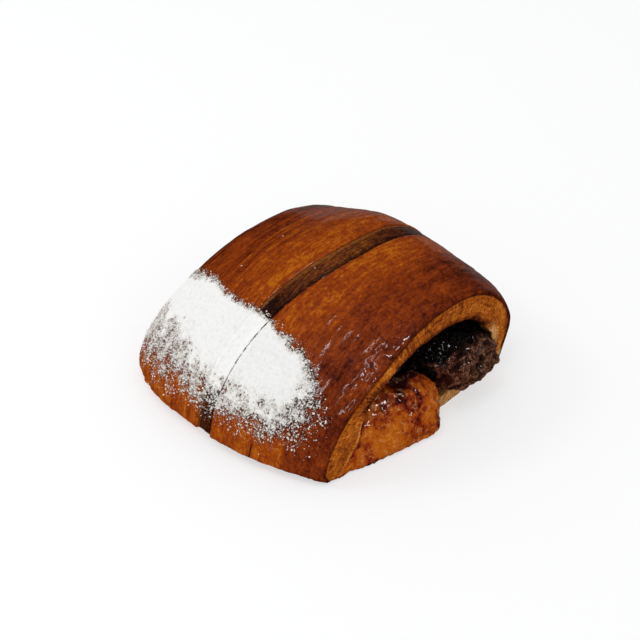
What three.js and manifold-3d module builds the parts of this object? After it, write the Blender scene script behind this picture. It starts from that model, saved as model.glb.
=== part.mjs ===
// A pain au chocolat: a sheet of laminated dough rolled over chocolate, open at both ends,
// with a strip of dark cocoa dough laid round it in the direction of the roll.
// Millimetres. +Z is up and Z = 0 is the tray. The chocolate runs along X, and the sheet wraps
// round it from the front wall (-Y), over the crest, to the back wall (+Y).
import * as THREE from "three";
import { mergeVertices } from "three/addons/utils/BufferGeometryUtils.js";
import Module from "manifold-3d";

const wasm = await Module();
wasm.setup();

// The wrap
const endX = 46.5; // from the middle to each open end, along the chocolate
const crestHeight = 52.6; // height of the crest halfway along
const crestDrop = 7; // how much lower the crest is at the +X end
const farCrestDrop = 14.5; // how much lower it is at the -X end
const crestBack = 5; // how far the crest sits towards the back
const frontEnd = 46; // front wall's distance from the middle at the open ends
const backEnd = 51; // back wall's distance from the middle at the open ends
const frontBulge = 11.5; // how much further the front wall stands out halfway along
const backBulge = 4; // how much further the back wall stands out halfway along
const sugarSideBulge = 4; // extra bulge of the front wall near the -X end
const backTuck = 6; // how far the back wall draws in towards the tray
const waistZ = 4; // height at which the walls stand out most
const edgeTurn = 1.2; // how far the crust turns in at the crisp +X end
const edgeRound = 6; // length over which it does
const farTurn = 12.5; // the same for the soft -X end
const farRound = 13;
const crustLumps = 0.55; // unevenness of the crust
const farFlatness = 0.7; // height of what lies in the -X end, against the +X end

// The open ends
const mouthY = 6;
const mouthZ = 11;
const mouthHalves = { right: 32, left: 35, up: 23.5, down: 6 };
const mouthDepth = 9; // how far the sheet's arch stands proud of what lies in it
const arrisY = -15; // where the end of the sheet stands out most
const arrisOut = 3;
const footOut = 2.4;

// The inner turn of the roll, which swells out of each mouth
const turnY = -13;
const turnZ = 8.4;
const turnHalves = { right: 15.5, left: 22, up: 13, down: 9 };
const turnOut = 56.4; // how far its lower corner stands from the middle
const turnBack = [3.2, 6.4, 17]; // depths along its cut side
const cutSlant = [4.2, 7.6, 7.6]; // how far that side leans towards the chocolate there

// The chocolate
const stickY = 12;
const stickZ = 19.5;
const stickSections = [[0, 12, 6], [0.5, 13, 6.5], [0.72, 21, 10.5], [0.8, 29, 13.5], [0.86, 29.5, 13.8]];
const lumpX = 40.5;
const lumpY = 23.5;
const lumpZ = 15.2;
const lumpRadii = { along: 13.5, across: 20, upright: 12 };
const lumpSlope = 0.2; // the lump leans down towards the back
const lumpCrags = [[0.07, 15], [0.06, 6.5]]; // share of its radius, and wavelength

// The cocoa strip
const stripWidth = 6.6;
const stripThickness = 1.3;
const stripSunk = 0.35; // its face lies this far below the crust
const stripCrestX = 9.6; // where it crosses the crest
const stripFrontX = 1.6; // where it reaches the tray at the front
const stripPastWaist = 0.05; // how far below the waist it ends, in radians

const fitGap = 0.35; // clearance between the dough and what lies in it

// Face counts
const roundSteps = 84;
const lengthSteps = 26;
const mouthSteps = 56;
const turnSteps = 36;
const stickSteps = 40;
const lumpSteps = 32;
const lumpRings = 17;
const stripSteps = 60;

const lerp = (a, b, t) => a + (b - a) * t;
const clamp01 = (t) => Math.min(1, Math.max(0, t));
const smooth = (t) => clamp01(t) ** 2 * (3 - 2 * clamp01(t));
const hump = (d, width) => Math.exp(-((d / width) ** 2));
const middleOf = (ring) => ring.reduce((sum, p) => sum.add(p), new THREE.Vector3()).divideScalar(ring.length);

// Points round the roll, one for each of the directions from +Y over +Z
function ringOf(steps, pointAt) {
  return Array.from({ length: steps }, (_, j) => pointAt((2 * Math.PI * j) / steps));
}

// Slow unevenness of baked dough, from -1 to 1
function unevenness(x, y, z, wavelength, phase) {
  const k = (2 * Math.PI) / wavelength;
  const waves = [
    Math.sin(k * (x + 0.35 * y) + phase),
    Math.sin(k * (0.8 * y - 0.45 * z) + 1.7 * phase),
    Math.sin(k * (0.9 * z + 0.5 * x) + 2.9 * phase),
  ];
  return (waves[0] + waves[1] + waves[2]) / waves.length;
}

// Distance from the centre of an uneven oval to its edge, in direction a. halves holds its
// reach towards +Y, -Y, +Z and -Z, and power its squareness (2 is an ellipse).
function ovalReach(a, halves, power) {
  const across = Math.abs(Math.cos(a)) / (Math.cos(a) >= 0 ? halves.right : halves.left);
  const upright = Math.abs(Math.sin(a)) / (Math.sin(a) >= 0 ? halves.up : halves.down);
  return (across ** power + upright ** power) ** (-1 / power);
}

// A closed solid through rings that all have the same number of points
function loft(rings, startPoint, endPoint) {
  const count = rings[0].length;
  const points = [startPoint, ...rings.flat(), endPoint];
  const faces = [];
  const at = (ring, i) => 1 + ring * count + (i % count);
  const last = rings.length - 1;
  for (let i = 0; i < count; i++) {
    faces.push(0, at(0, i), at(0, i + 1));
    faces.push(points.length - 1, at(last, i + 1), at(last, i));
    for (let ring = 0; ring < last; ring++) {
      faces.push(at(ring, i), at(ring + 1, i), at(ring + 1, i + 1));
      faces.push(at(ring, i), at(ring + 1, i + 1), at(ring, i + 1));
    }
  }
  return solidFrom(points, faces);
}

function solidFrom(points, faces) {
  const geometry = new THREE.BufferGeometry().setFromPoints(points);
  geometry.setIndex(faces);
  const merged = mergeVertices(geometry, 1e-4);
  const kept = [];
  const index = merged.index.array;
  for (let i = 0; i < index.length; i += 3) {
    const [a, b, c] = index.slice(i, i + 3);
    if (a !== b && b !== c && c !== a) kept.push(a, b, c);
  }
  const solidWith = (triVerts) =>
    new wasm.Manifold(new wasm.Mesh({ numProp: 3, vertProperties: merged.attributes.position.array, triVerts }));
  const made = solidWith(new Uint32Array(kept));
  return made.volume() > 0 ? made : solidWith(new Uint32Array(kept).reverse());
}

function crestAt(x) {
  if (x < 0) return crestHeight - farCrestDrop * smooth(-x / endX);
  return crestHeight - crestDrop * clamp01((x - 4) / (endX - 4)) ** 1.3;
}

// The wrap's cross-section at x: the reach of its oval from a centre at waist height
function wrapHalves(x) {
  const middle = 1 - Math.min(1, Math.abs(x / endX)) ** 2.2;
  return {
    right: backEnd + backBulge * middle,
    left: frontEnd + frontBulge * middle + sugarSideBulge * hump(x + endX, 15),
    up: crestAt(x) - waistZ,
    down: waistZ + 0.8,
  };
}

// How far the crust turns in towards the open ends
function endTurn(x) {
  const crisp = edgeTurn * clamp01((x - endX + edgeRound) / edgeRound) ** 2.4;
  const soft = clamp01((farRound - endX - x) / farRound);
  return crisp + farTurn * (1 - Math.sqrt(1 - 0.82 * soft ** 2));
}

// A point of the crust at x, in direction a round the roll, sunk by depth
function crustPoint(x, a, depth = 0) {
  const frontPower = lerp(1.85, 2, smooth((x + 40) / 30)) - 0.1 * smooth((x - 20) / 25);
  const power = lerp(frontPower, 2.35, smooth(0.5 + Math.cos(a)));
  const squarer = Math.sin(a) >= 0 ? power : lerp(power, 6, smooth(-Math.sin(a) * 8));
  const lumps = crustLumps * unevenness(x, 40 * Math.cos(a), 40 * Math.sin(a), 46, 0.9);
  const turned = endTurn(x) * (0.15 + 0.85 * clamp01(Math.sin(a) * 1.6));
  const reach = ovalReach(a, wrapHalves(x), squarer) + lumps - turned - depth;
  const z = waistZ + reach * Math.sin(a);
  const tuck = backTuck * smooth(Math.cos(a) * 2) * smooth(1 - z / 22);
  const shift = crestBack + 1.5 * Math.sin(x / 30) + 6 * smooth(-x / endX);
  return new THREE.Vector3(x, shift * clamp01(Math.sin(a)) + reach * Math.cos(a) - tuck, z);
}

// The roll is flatter towards the -X end, and so is what lies in it
function flattened(point) {
  point.z *= lerp(1, farFlatness, smooth(-point.x / endX));
  return point;
}

// How far the open +X end stands out at a point of its face
function endBulge(y, z) {
  const arris = arrisOut * hump(y - arrisY, 24) * hump(z - 30, 22);
  return arris + footOut * hump(y - arrisY, 22) * hump(z, 14);
}

function outerRoll() {
  const rings = [];
  for (let i = 0; i <= lengthSteps; i++) {
    const even = (2 * i) / lengthSteps - 1;
    const x = endX * (0.82 * Math.sin((even * Math.PI) / 2) + 0.18 * even);
    const share = smooth((x - 10) / (endX - 10));
    const ring = ringOf(roundSteps, (a) => crustPoint(x, a));
    for (const point of ring) point.x += share * endBulge(point.y, point.z);
    rings.push(ring);
  }
  const endFace = (rim, bulgeAt) =>
    [0.93, 0.72, 0.4].map((scale) =>
      rim.map((point) => {
        const y = point.y * scale;
        const z = waistZ + (point.z - waistZ) * scale;
        return new THREE.Vector3(bulgeAt(y, z), y, z);
      }),
    );
  const farFace = endFace(rings[0], () => -endX - 0.8).reverse();
  const nearFace = endFace(rings[lengthSteps], (y, z) => endX + endBulge(y, z) + 0.4);
  const centre = (side) => new THREE.Vector3(side * (endX + 1), 0, waistZ);
  return loft([...farFace, ...rings, ...nearFace], centre(-1), centre(1));
}

// The open mouth at one end, where the sheet arches over the chocolate
function mouth(side) {
  const flare = [[-mouthDepth - 4, -3], [-mouthDepth, -1.2], [-3, 0], [1, 0.8], [14, 4]];
  const rings = flare.map(([out, wider]) =>
    ringOf(mouthSteps, (a) => {
      const { right, left, up, down } = mouthHalves;
      const halves = { right: right + wider, left: left + wider, up: up + wider, down };
      const ragged = 0.5 * unevenness(out, 30 * Math.cos(a), 30 * Math.sin(a), 13, side + 2);
      const reach = ovalReach(a, halves, 2.3) + ragged;
      const y = mouthY + reach * Math.cos(a);
      return flattened(new THREE.Vector3(side * (endX + out), y, mouthZ + reach * Math.sin(a)));
    }),
  );
  return loft(rings, middleOf(rings[0]), middleOf(rings[rings.length - 1]));
}

// The inner turn of the roll: a bumpy face that stands out most at its lower corner, with
// the sheet's cut end on the side towards the chocolate
function innerTurn(side) {
  const face = (share, a) => {
    const power = Math.sin(a) >= 0 ? 2.3 : 5;
    const reach = share * ovalReach(a, turnHalves, power);
    const y = turnY + reach * Math.cos(a);
    const z = turnZ + reach * Math.sin(a);
    const ramp = turnOut + 0.18 * (y - turnY - turnHalves.right) - 6 * (z / 25) ** 2;
    const tucked = 6 * share ** 4 * smooth(0.4 - Math.cos(a)) * smooth(z / 7);
    const worn = 0.8 * share ** 8;
    const bumps = 0.6 * unevenness(y, z, 0.7 * y, 13, 1.1 + side) * (1 - share ** 6);
    return new THREE.Vector3(ramp - tucked - worn + bumps, y, z);
  };
  const placed = (point) => flattened(point.setX(side * point.x));
  const cutSide = (a, i) => {
    const rim = face(1, a);
    return rim.add(new THREE.Vector3(-turnBack[i], cutSlant[i] * smooth(Math.cos(a) * 1.4), 0));
  };
  const rings = [0.3, 0.55, 0.75, 0.9, 1].map((share) => ringOf(turnSteps, (a) => placed(face(share, a))));
  turnBack.forEach((_, i) => rings.push(ringOf(turnSteps, (a) => placed(cutSide(a, i)))));
  return loft(rings, placed(face(0, 0)), middleOf(rings[rings.length - 1]));
}

// The chocolate: a stick through the roll, which has melted and swollen at both ends
function chocolateStick(grown = 0) {
  const farSections = stickSections.slice(1).reverse().map(([share, ...size]) => [-share, ...size]);
  const rings = [...farSections, ...stickSections].map(([share, across, upright]) =>
    ringOf(stickSteps, (a) => {
      const halves = { right: across, left: across, up: upright, down: upright };
      const reach = ovalReach(a, halves, 2.3) + grown;
      const y = stickY + reach * Math.cos(a);
      return flattened(new THREE.Vector3(share * endX, y, stickZ + reach * Math.sin(a)));
    }),
  );
  const tip = (ring, side) => middleOf(ring).add(new THREE.Vector3(side * (2 + grown), 0, 0));
  return loft(rings, tip(rings[0], -1), tip(rings[rings.length - 1], 1));
}

// The rough lump that has pushed out of the stick's end
function chocolateLump(side, grown = 0) {
  const rings = [];
  for (let i = 1; i <= lumpRings; i++) {
    const tilt = -Math.PI / 2 + (Math.PI * i) / (lumpRings + 1);
    rings.push(
      ringOf(lumpSteps, (a) => {
        const across = lumpRadii.across * Math.cos(tilt) * Math.cos(a);
        const upright = lumpRadii.upright * Math.cos(tilt) * Math.sin(a);
        const crag = lumpCrags.map(([share, wavelength]) =>
          share * unevenness(20 * tilt, across, upright, wavelength, 2.2 + side),
        );
        const reach = 1 + crag[0] + crag[1];
        const x = lumpX + (lumpRadii.along + grown) * Math.sin(tilt) * reach;
        const y = across * reach + grown * Math.cos(tilt) * Math.cos(a);
        const z = upright * reach + grown * Math.cos(tilt) * Math.sin(a) - lumpSlope * y;
        return flattened(new THREE.Vector3(side * x, lumpY + y, lumpZ + z));
      }),
    );
  }
  return loft(rings, middleOf(rings[0]), middleOf(rings[lumpRings - 1]));
}

// The cocoa strip's run round the roll: where it lies along X, for a direction a
function stripX(a) {
  return lerp(stripCrestX, stripFrontX, smooth((a - 1.5) / 1.5));
}

// A band that runs with the strip, between two depths under the crust
function crustBand(halfWidth, outer, inner, pastWaist) {
  const corners = [[-1, inner], [-1, outer], [0, outer], [1, outer], [1, inner], [0, inner]];
  const rings = [];
  for (let i = 0; i <= stripSteps; i++) {
    const a = lerp(-pastWaist, Math.PI + pastWaist, i / stripSteps);
    rings.push(corners.map(([side, depth]) => crustPoint(stripX(a) + side * halfWidth, a, depth)));
  }
  return loft(rings, middleOf(rings[0]), middleOf(rings[stripSteps]));
}

function meshOf(name, solid, color, roughness) {
  const mesh = solid.getMesh();
  const geometry = new THREE.BufferGeometry();
  geometry.setAttribute("position", new THREE.BufferAttribute(mesh.vertProperties, 3));
  geometry.setIndex(new THREE.BufferAttribute(mesh.triVerts, 1));
  geometry.computeVertexNormals();
  const look = new THREE.MeshStandardMaterial({ color, roughness, metalness: 0 });
  const made = new THREE.Mesh(geometry, look);
  made.name = name;
  return made;
}

const ends = [-1, 1];
const joined = (solids) => solids.reduce((sum, solid) => sum.add(solid));
const filling = (grown) => joined([chocolateStick(grown), ...ends.map((side) => chocolateLump(side, grown))]);
const groove = crustBand(stripWidth / 2 + fitGap, -4, stripSunk + stripThickness + fitGap, stripPastWaist + 0.05);

// The base is cut flat where it meets the tray
const roll = ends.reduce((sum, side) => sum.subtract(mouth(side)).add(innerTurn(side)), outerRoll());
const dough = roll.trimByPlane([0, 0, 1], 0).subtract(filling(fitGap)).subtract(groove);
const strip = crustBand(stripWidth / 2, stripSunk, stripSunk + stripThickness, stripPastWaist);

// The origin is under the middle of the roll
const { min, max } = dough.boundingBox();
const toMiddle = [-(min[0] + max[0]) / 2, -(min[1] + max[1]) / 2, 0];

const painAuChocolat = new THREE.Group();
painAuChocolat.add(
  meshOf("dough", dough.translate(toMiddle), "#a8561c", 0.4),
  meshOf("chocolate", filling(0).translate(toMiddle), "#2a1410", 0.5),
  meshOf("cocoa_strip", strip.translate(toMiddle), "#4a2812", 0.45),
);

export default painAuChocolat;
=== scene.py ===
import itertools
from math import cos, pi, radians, sin
import bpy
import numpy as np
from mathutils import Matrix, Vector


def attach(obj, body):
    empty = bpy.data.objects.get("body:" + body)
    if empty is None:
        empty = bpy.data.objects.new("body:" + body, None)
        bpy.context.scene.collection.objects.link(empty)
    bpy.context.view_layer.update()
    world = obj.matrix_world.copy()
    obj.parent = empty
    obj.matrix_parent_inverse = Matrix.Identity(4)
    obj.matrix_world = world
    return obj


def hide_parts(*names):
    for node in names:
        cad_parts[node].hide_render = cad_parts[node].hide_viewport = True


# A pain au chocolat in its baked finish. Sizes are in millimetres and are turned to metres where
# a mesh is written. X is the roll's axis, -Y the front wall that carries the icing sugar.

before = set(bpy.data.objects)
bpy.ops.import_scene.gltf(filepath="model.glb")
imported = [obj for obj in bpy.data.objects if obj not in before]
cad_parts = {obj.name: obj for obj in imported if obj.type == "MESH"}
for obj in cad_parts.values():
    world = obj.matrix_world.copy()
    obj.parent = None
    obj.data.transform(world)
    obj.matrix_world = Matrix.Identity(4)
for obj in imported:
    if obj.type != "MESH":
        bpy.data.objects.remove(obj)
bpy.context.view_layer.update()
mm = 0.001
seed = 4021
latticeValues = np.random.default_rng(seed).random(65536)


def lerp(a, b, t):
    return a + (b - a) * t


def clamp01(t):
    return np.clip(t, 0.0, 1.0)


def smooth(t):
    return clamp01(t) ** 2 * (3 - 2 * clamp01(t))


def between(value, low, high):  # a smooth step from 0 at low to 1 at high
    return smooth((value - low) / (high - low))


def hump(distance, width):  # 1 at no distance, and little past the width
    return np.exp(-((distance / width) ** 2))


# Every random pattern: its height, the spacing of its bumps in mm, and its number
patterns = {
    "streaks": (0.11, (0.85, 8.5, 4), 1), "swells": (0.16, (2.6, 17, 9), 2),
    "blisters": (1, (2.0, 3.4, 4), 3), "fineBlisters": (0.2, (1.5, 1.9, 2), 13),
    "lumps": (0.14, 6.5, 4), "layers": (0.13, (0.85, 12, 6), 5), "pores": (1, (0.8, 1.5, 2), 6),
    "bandLumps": (0.12, 4, 7), "wrinkles": (0.45, (6, 4, 3), 8), "creases": (1, (5, 3.6, 3.2), 9),
    "turnGrain": (0.26, 1.6, 10), "turnBumps": (0.3, (4, 2.6, 2.2), 54),
    "patchFolds": (0.55, (5, 2.1, 4.5), 12), "patchEdge": (0.2, 3, 53), "insideLumps": (0.35, 2.6, 11),
    "broadBake": (0.1, 19, 20), "smallBake": (0.09, 8, 21), "footBake": (0.1, (2.2, 5, 9), 22),
    "bakeStreaks": (1, (1.4, 24, 1), 60), "turnShades": (0.1, 5, 23), "turnSpots": (1, 5, 52),
    "bandShades": (0.16, 5, 24), "sugarClumps": (0.9, (3.0, 3.6, 1), 50),
    "sugarSpecks": (0.6, (1.5, 1.8, 1), 51), "crags": (1, 5.5, 30), "crumbs": (1, 2.3, 31),
    "grit": (0.5, 1.2, 32), "poolWaves": (0.25, 3.2, 33), "poolGrain": (0.3, 1.1, 34),
    "shore": (1.5, 4, 35), "stripStreaks": (0.1, (0.9, 8, 3), 40), "stripSwells": (0.14, (2.2, 10, 5), 41),
}


def pattern(name, points):  # smooth random values, up to the pattern's height either way
    height, spacing, number = patterns[name]
    place = np.asarray(points, float) / np.asarray(spacing, float)
    cell = np.floor(place).astype(np.int64)
    share = place - cell
    share = share * share * (3 - 2 * share)
    total = np.zeros(len(place))
    for corner in itertools.product((0, 1), repeat=3):
        at = cell + np.array(corner)
        key = (at[:, 0] * 73856093) ^ (at[:, 1] * 19349663) ^ (at[:, 2] * 83492791) ^ (number * 39916801)
        weight = np.prod(np.where(np.array(corner) == 1, share, 1 - share), axis=1)
        total += weight * latticeValues[np.abs(key) % len(latticeValues)]
    return height * (total * 2 - 1)


# The wrap's own form, from the same sizes as the solid
wrap = {
    "endX": 46.5, "crestHeight": 52.6, "crestDrop": 7.0, "dropFrom": 4, "dropPower": 1.3,
    "farCrestDrop": 14.5, "crestBack": 5.0, "sway": 1.5, "swayLength": 30, "farShift": 6,
    "frontEnd": 46.0, "backEnd": 51.0, "frontBulge": 11.5, "backBulge": 4.0, "bulgePower": 2.2,
    "farSideBulge": 4.0, "farSideWidth": 15, "backTuck": 6.0, "tuckHeight": 22, "waistZ": 4.0,
    "footReach": 0.8, "farPower": 1.85, "frontPower": 2.0, "nearPower": 0.1, "backPower": 2.35,
    "footPower": 6.0, "footTurn": 8, "edgeTurn": 1.2, "edgeRound": 6.0, "edgePower": 2.4,
    "farTurn": 12.5, "farRound": 13.0, "farCurve": 0.82, "lowTurn": 0.15, "turnRise": 1.6,
    "lumps": 0.55, "lumpReach": 40, "lumpLength": 46, "lumpPhase": 0.9, "bulgeFrom": 10,
    "arrisY": -15.0, "arrisZ": 30, "arrisOut": 3.0, "arrisWidth": 24, "arrisHeight": 22,
    "footOut": 2.4, "footWidth": 22, "footHeight": 14, "middleX": 0.147, "middleY": 1.517,
}


def slowLumps(x, y, z, wavelength, phase):
    k = 2 * pi / wavelength
    return (np.sin(k * (x + 0.35 * y) + phase) + np.sin(k * (0.8 * y - 0.45 * z) + 1.7 * phase)
            + np.sin(k * (0.9 * z + 0.5 * x) + 2.9 * phase)) / 3


def ovalReach(a, halves, power):  # half sizes to the back, to the front, up and down
    right, left, up, down = halves
    across = np.abs(np.cos(a)) / np.where(np.cos(a) >= 0, right, left)
    upright = np.abs(np.sin(a)) / np.where(np.sin(a) >= 0, up, down)
    return (across ** power + upright ** power) ** (-1 / power)


def crustReach(x, a):  # distance from the roll's axis to its crust, in direction a
    w = wrap
    middle = 1 - np.minimum(1, np.abs(x / w["endX"])) ** w["bulgePower"]
    dropShare = clamp01((x - w["dropFrom"]) / (w["endX"] - w["dropFrom"]))
    nearDrop = w["crestDrop"] * dropShare ** w["dropPower"]
    farDrop = w["farCrestDrop"] * smooth(-x / w["endX"])
    up = w["crestHeight"] - np.where(x < 0, farDrop, nearDrop) - w["waistZ"]
    right = w["backEnd"] + w["backBulge"] * middle
    farSide = w["farSideBulge"] * hump(x + w["endX"], w["farSideWidth"])
    left = w["frontEnd"] + w["frontBulge"] * middle + farSide
    frontPower = lerp(w["farPower"], w["frontPower"], between(x, -40, -10))
    frontPower = frontPower - w["nearPower"] * between(x, 20, 45)
    power = lerp(frontPower, w["backPower"], smooth(0.5 + np.cos(a)))
    lowPower = lerp(power, w["footPower"], smooth(-np.sin(a) * w["footTurn"]))
    power = np.where(np.sin(a) >= 0, power, lowPower)
    oval = ovalReach(a, (right, left, up, w["waistZ"] + w["footReach"]), power)
    crisp = w["edgeTurn"] * clamp01((x - w["endX"] + w["edgeRound"]) / w["edgeRound"]) ** w["edgePower"]
    soft = clamp01((w["farRound"] - w["endX"] - x) / w["farRound"])
    turn = crisp + w["farTurn"] * (1 - np.sqrt(1 - w["farCurve"] * soft ** 2))
    reach = w["lumpReach"]
    lumps = slowLumps(x, reach * np.cos(a), reach * np.sin(a), w["lumpLength"], w["lumpPhase"])
    rise = clamp01(np.sin(a) * w["turnRise"])
    return oval + w["lumps"] * lumps - turn * (w["lowTurn"] + (1 - w["lowTurn"]) * rise)


def endBulge(y, z):  # how far the near end swells out
    w = wrap
    aside = y - w["arrisY"]
    arris = w["arrisOut"] * hump(aside, w["arrisWidth"]) * hump(z - w["arrisZ"], w["arrisHeight"])
    return arris + w["footOut"] * hump(aside, w["footWidth"]) * hump(z, w["footHeight"])


roundCount = 400
roundBelow = 0.3
roundAngles = np.linspace(-roundBelow, pi + roundBelow, roundCount)
roundReach = crustReach(np.zeros(roundCount), roundAngles)
roundSteps = np.hypot(np.diff(roundReach * np.cos(roundAngles)), np.diff(roundReach * np.sin(roundAngles)))
roundLengths = np.concatenate([[0], np.cumsum(roundSteps)])


def wrapPlaces(points):  # place along the roll, direction round it, way round in mm, depth in the dough
    w = wrap
    y = points[:, 1] - w["middleY"]
    z = points[:, 2]
    out = points[:, 0] - w["middleX"]
    x = np.clip(out, -w["endX"], w["endX"])
    for _ in range(4):
        pushed = between(x, w["bulgeFrom"], w["endX"]) * endBulge(y, z)
        x = np.clip(out - pushed, -w["endX"], w["endX"])
    shift = w["crestBack"] + w["sway"] * np.sin(x / w["swayLength"]) + w["farShift"] * smooth(-x / w["endX"])
    a = np.arctan2(z - w["waistZ"], y)
    for _ in range(5):
        tuck = w["backTuck"] * smooth(np.cos(a) * 2) * smooth(1 - z / w["tuckHeight"])
        across = y + tuck - shift * clamp01(np.sin(a))
        a = np.arctan2(z - w["waistZ"], across)
    depth = crustReach(x, a) - np.hypot(across, z - w["waistZ"])
    wayRound = np.interp(np.where(a < -pi / 2, a + 2 * pi, a), roundAngles, roundLengths)
    return x, a, wayRound, depth


# Mesh helpers
mergeGap = 0.000002


def deselectAll():
    if bpy.context.object and bpy.context.object.mode != "OBJECT":
        bpy.ops.object.mode_set(mode="OBJECT")
    bpy.ops.object.select_all(action="DESELECT")


def pick(piece):
    deselectAll()
    piece.select_set(True)
    bpy.context.view_layer.objects.active = piece


def copyOfNode(nodeName, pieceName):  # a merged copy, on its own mesh, of a solid's loose triangles
    piece = bpy.data.objects.new(pieceName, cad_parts[nodeName].data.copy())
    bpy.context.scene.collection.objects.link(piece)
    piece.data.name = pieceName
    piece.data.materials.clear()
    pick(piece)
    bpy.ops.object.mode_set(mode="EDIT")
    bpy.ops.mesh.select_all(action="SELECT")
    bpy.ops.mesh.remove_doubles(threshold=mergeGap)
    bpy.ops.object.mode_set(mode="OBJECT")
    return piece


def remeshed(piece, voxel):
    pick(piece)
    piece.data.remesh_voxel_size = voxel * mm
    piece.data.remesh_voxel_adaptivity = 0
    bpy.ops.object.voxel_remesh()
    return piece


def placesOf(piece):
    found = np.zeros(len(piece.data.vertices) * 3)
    piece.data.vertices.foreach_get("co", found)
    return found.reshape(-1, 3) / mm


def normalsOf(piece):
    found = np.zeros(len(piece.data.vertices) * 3)
    piece.data.vertex_normals.foreach_get("vector", found)
    return found.reshape(-1, 3)


def movePlaces(piece, places):
    piece.data.vertices.foreach_set("co", (places * mm).ravel())
    piece.data.update()


def weightGroup(piece, name, weights):
    group = piece.vertex_groups.new(name=name)
    for number in np.nonzero(weights > 0.02)[0]:
        group.add([int(number)], float(weights[number]), "REPLACE")
    return group


def smoothBy(piece, repeats, strength, group=""):
    pick(piece)
    made = piece.modifiers.new("even", "SMOOTH")
    made.factor = strength
    made.iterations = repeats
    made.vertex_group = group
    bpy.ops.object.modifier_apply(modifier=made.name)


def thinOut(piece, chosen, share):  # fewer faces where nothing shows
    pick(piece)
    corners = np.zeros(len(piece.data.loops), int)
    piece.data.loops.foreach_get("vertex_index", corners)
    starts = np.zeros(len(piece.data.polygons), int)
    piece.data.polygons.foreach_get("loop_start", starts)
    hiddenFaces = np.logical_and.reduceat(chosen[corners], starts)
    bpy.ops.object.mode_set(mode="EDIT")
    bpy.ops.mesh.select_mode(type="FACE")
    bpy.ops.mesh.select_all(action="DESELECT")
    bpy.ops.object.mode_set(mode="OBJECT")
    piece.data.polygons.foreach_set("select", hiddenFaces)
    bpy.ops.object.mode_set(mode="EDIT")
    bpy.ops.mesh.decimate(ratio=share)
    bpy.ops.object.mode_set(mode="OBJECT")


def giveAttributes(piece, given):  # named values for the materials, one for each vertex
    for name, values in given.items():
        kind, field = ("FLOAT_VECTOR", "vector") if np.ndim(values) == 2 else ("FLOAT", "value")
        made = piece.data.attributes.new(name, kind, "POINT")
        made.data.foreach_set(field, np.asarray(values, np.float32).ravel())


def finishPiece(piece, material, node):
    piece.data.materials.clear()
    piece.data.materials.append(material)
    pick(piece)
    bpy.ops.object.shade_smooth()
    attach(piece, "root")
    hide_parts(node)
    print(piece.name, len(piece.data.polygons), "faces")
    return piece


# Material helpers
def shade(text):  # a colour as it looks on screen, turned to scene values
    parts = [int(text[i:i + 2], 16) / 255 for i in (1, 3, 5)]
    return [p / 12.92 if p <= 0.04045 else ((p + 0.055) / 1.055) ** 2.4 for p in parts] + [1.0]


def newMaterial(name, roughness, coat=0.0, coatRoughness=0.3, specular=0.1):
    material = bpy.data.materials.new(name)
    material.use_nodes = True
    shader = material.node_tree.nodes["Principled BSDF"]
    shader.inputs["Roughness"].default_value = roughness
    shader.inputs["Coat Weight"].default_value = coat
    shader.inputs["Coat Roughness"].default_value = coatRoughness
    shader.inputs["Coat IOR"].default_value = 1.5
    shader.inputs["Specular IOR Level"].default_value = specular
    return material, material.node_tree, shader


def feed(tree, socket, value):
    if isinstance(value, bpy.types.NodeSocket):
        tree.links.new(value, socket)
    else:
        socket.default_value = value


def attributeNode(tree, name, output="Fac"):
    made = tree.nodes.new("ShaderNodeAttribute")
    made.attribute_name = name
    return made.outputs[output]


def objectPlaces(tree):
    return tree.nodes.new("ShaderNodeTexCoord").outputs["Object"]


def stretched(tree, vector, scale):
    made = tree.nodes.new("ShaderNodeVectorMath")
    made.operation = "MULTIPLY"
    feed(tree, made.inputs[0], vector)
    made.inputs[1].default_value = scale
    return made.outputs[0]


def noise(tree, vector, detail, roughness):
    made = tree.nodes.new("ShaderNodeTexNoise")
    feed(tree, made.inputs["Vector"], vector)
    made.inputs["Scale"].default_value = 1.0
    made.inputs["Detail"].default_value = detail
    made.inputs["Roughness"].default_value = roughness
    return made.outputs[0]


def evenNoise(tree, vector, size, detail, roughness):  # noise of one size every way, in mm
    return noise(tree, stretched(tree, vector, (1 / (size * mm),) * 3), detail, roughness)


def cellNumbers(tree, vector, size):  # one random number for each of scattered cells
    made = tree.nodes.new("ShaderNodeTexVoronoi")
    feed(tree, made.inputs["Vector"], stretched(tree, vector, (1 / (size * mm),) * 3))
    made.inputs["Scale"].default_value = 1.0
    apart = tree.nodes.new("ShaderNodeSeparateColor")
    feed(tree, apart.inputs[0], made.outputs["Color"])
    return apart.outputs[0]


def maths(tree, operation, first, second=0.0):
    made = tree.nodes.new("ShaderNodeMath")
    made.operation = operation
    feed(tree, made.inputs[0], first)
    feed(tree, made.inputs[1], second)
    return made.outputs[0]


def weighted(tree, *parts):  # the sum of several values, each times its weight
    total = 0.0
    for value, weight in parts:
        made = tree.nodes.new("ShaderNodeMath")
        made.operation = "MULTIPLY_ADD"
        for socket, part in zip(made.inputs, (value, weight, total)):
            feed(tree, socket, part)
        total = made.outputs[0]
    return total


def spread(tree, value, low, high, newLow=0.0, newHigh=1.0):  # a smooth step between two values
    made = tree.nodes.new("ShaderNodeMapRange")
    made.interpolation_type = "SMOOTHSTEP"
    feed(tree, made.inputs["Value"], value)
    for socket, number in zip(("From Min", "From Max", "To Min", "To Max"), (low, high, newLow, newHigh)):
        made.inputs[socket].default_value = number
    return made.outputs[0]


def ramp(tree, factor, stops):
    made = tree.nodes.new("ShaderNodeValToRGB")
    feed(tree, made.inputs[0], factor)
    while len(made.color_ramp.elements) < len(stops):
        made.color_ramp.elements.new(0.5)
    for element, (place, text) in zip(made.color_ramp.elements, stops):
        element.position = place
        element.color = shade(text)
    return made.outputs[0]


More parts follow.
